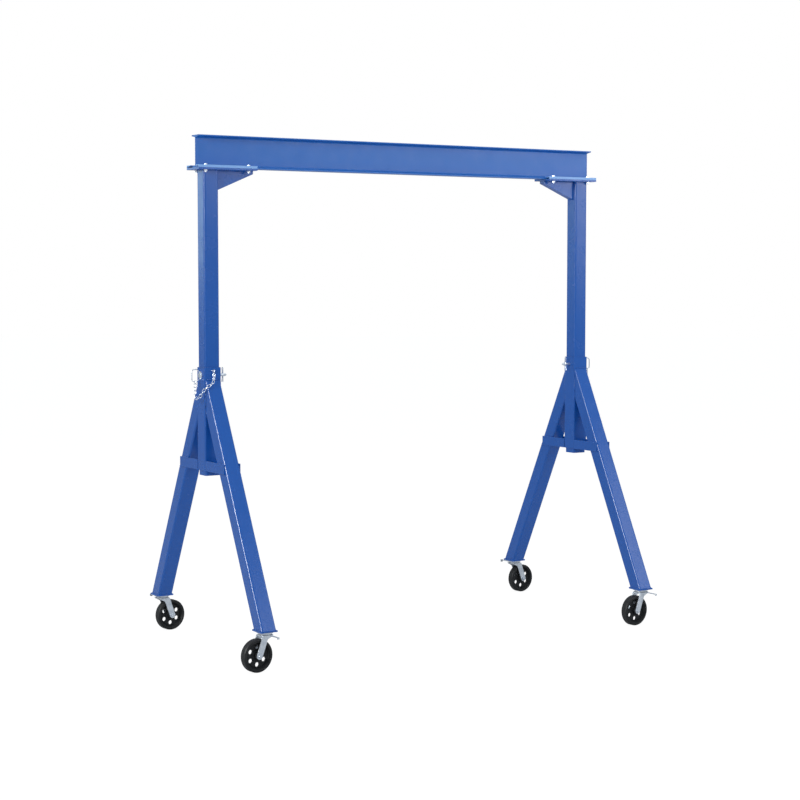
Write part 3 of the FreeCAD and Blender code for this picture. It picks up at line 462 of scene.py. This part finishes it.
def dress_wheel(name, facing):
    """Hub sleeves and the wheel's moulded rings, on both faces."""
    body = name + "_roller"
    across = Vector(WHEEL_AXIS) * facing
    hub = middle(name + "_wheel")
    shape = bmesh.new()
    sleeve = [(0.0068, -0.0030), (0.0098, -0.0030), (0.0098, 0.0006), (0.0090, 0.0010), (0.0068, 0.0010)]
    for way in (-1, 1):
        lathe(shape, hub + across * way * HUB_END, across * way, sleeve, 40)
    add_piece(name + "_hub_sleeves", shape, DARK_STEEL, body)

    shape = bmesh.new()
    for way in (-1, 1):
        for radius, level, high in WHEEL_RINGS:
            ring = [
                (radius - 0.0016, -0.0012),
                (radius - 0.0010, high * 0.7),
                (radius, high),
                (radius + 0.0010, high * 0.7),
                (radius + 0.0016, -0.0012),
            ]
            lathe(shape, hub + across * way * level, across * way, ring, 96)
    skin = bpy.data.materials[name + "_wheel_phenolic"]
    add_piece(name + "_wheel_rings", shape, skin, body)


for end, side in ENDS:
    weld_frame(end)
    weld_post(end, side)
    dress_bolts(end)
    for where, across in WHERES:
        dress_swivel(f"{end}_{where}", -across)
        dress_wheel(f"{end}_{where}", -across)


# ------------------------------------------------------------------ stage
def by_ray(tree, lit, seen, output):
    """One shader for what the camera sees straight on, and another for every other ray."""
    path = tree.nodes.new("ShaderNodeLightPath")
    mix = tree.nodes.new("ShaderNodeMixShader")
    tree.links.new(path.outputs["Is Camera Ray"], mix.inputs[0])
    tree.links.new(lit, mix.inputs[1])
    tree.links.new(seen, mix.inputs[2])
    tree.links.new(mix.outputs[0], output.inputs[0])


def make_world():
    """A white background to look at, and a dim, cool sky to light the crane."""
    world = bpy.data.worlds.new("studio")
    bpy.context.scene.world = world
    world.use_nodes = True
    tree = world.node_tree
    tree.nodes.clear()
    skies = []
    for colour, strength in ((rgb(0.90, 0.95, 1.0), 0.57), (rgb(1.0, 1.0, 1.0), 1.0)):
        sky = tree.nodes.new("ShaderNodeBackground")
        sky.inputs[0].default_value = colour
        sky.inputs[1].default_value = strength
        skies.append(sky.outputs[0])
    by_ray(tree, skies[0], skies[1], tree.nodes.new("ShaderNodeOutputWorld"))


def make_floor():
    """A pale disc. Seen by the camera it is nearly white; its bounce on the crane is a darker grey."""
    s = Shader("studio_floor")
    drift = s.remap(s.noise(s.place(), 0.6, 3.0), 0.3, 0.7)
    bounce = s.node("BsdfDiffuse", Color=s.mix(drift, rgb(0.72, 0.72, 0.73), rgb(0.76, 0.76, 0.77)))
    glow = s.node("Emission", Color=rgb(1.0, 1.0, 1.0), Strength=0.93)
    shade = s.node("BsdfDiffuse", Color=rgb(0.13, 0.13, 0.13))
    by_ray(s.tree, bounce, s.node("AddShader", i0=glow, i1=shade), s.output)
    mesh = bpy.data.meshes.new("floor")
    shape = bmesh.new()
    bmesh.ops.create_circle(shape, cap_ends=True, segments=96, radius=60.0)
    shape.to_mesh(mesh)
    shape.free()
    mesh.materials.append(s.material)
    floor = bpy.data.objects.new("floor", mesh)
    bpy.context.scene.collection.objects.link(floor)


def area_light(name, place, aim, size, glow, colour=(1.0, 1.0, 1.0), glint_only=False):
    """A soft panel whose face has a brightness of glow, out of the camera's sight."""
    lamp = bpy.data.lights.new(name, "AREA")
    lamp.shape = "RECTANGLE"
    lamp.size, lamp.size_y = size
    lamp.energy = glow * math.pi * size[0] * size[1]
    lamp.color = colour
    made = bpy.data.objects.new(name, lamp)
    made.location = place
    made.rotation_euler = (Vector(aim) - Vector(place)).to_track_quat("-Z", "Y").to_euler()
    made.visible_camera = False
    made.visible_diffuse = not glint_only
    bpy.context.scene.collection.objects.link(made)


def make_camera():
    lens = bpy.data.cameras.new("camera")
    lens.lens = 83.0
    lens.sensor_width = 36.0
    lens.clip_end = 300.0
    camera = bpy.data.objects.new("camera", lens)
    camera.location = (-6.4799, -10.5329, 2.3782)
    camera.rotation_euler = (math.radians(86.13), 0.0, math.radians(-31.49))
    bpy.context.scene.collection.objects.link(camera)
    bpy.context.scene.camera = camera


make_world()
make_floor()
make_camera()
area_light("left", (-8.5, -2.6, 5.2), (0.0, 0.0, 1.0), (1.4, 1.4), 38.0)
area_light("left_strip", (-8.6, -2.55, 4.7), (-1.4, -0.5, 1.0), (1.0, 3.4), 85.0, glint_only=True)
area_light("back_high", (-5.7, 8.0, 3.4), (0.0, 0.0, 3.0), (1.8, 1.9), 3.0, (0.74, 1.0, 0.97))
area_light("front_high", (3.0, -5.0, 3.95), (0.0, 0.0, 3.0), (5.0, 1.3), 4.2)
area_light("front_right", (5.7, -5.0, 3.2), (1.4, 0.0, 2.8), (1.5, 1.6), 3.7)
area_light("top", (0.0, 0.0, 8.0), (0.0, 0.0, 0.0), (5.0, 5.0), 1.8)
bpy.context.scene.view_settings.view_transform = "Standard"
bpy.context.scene.view_settings.look = "None"
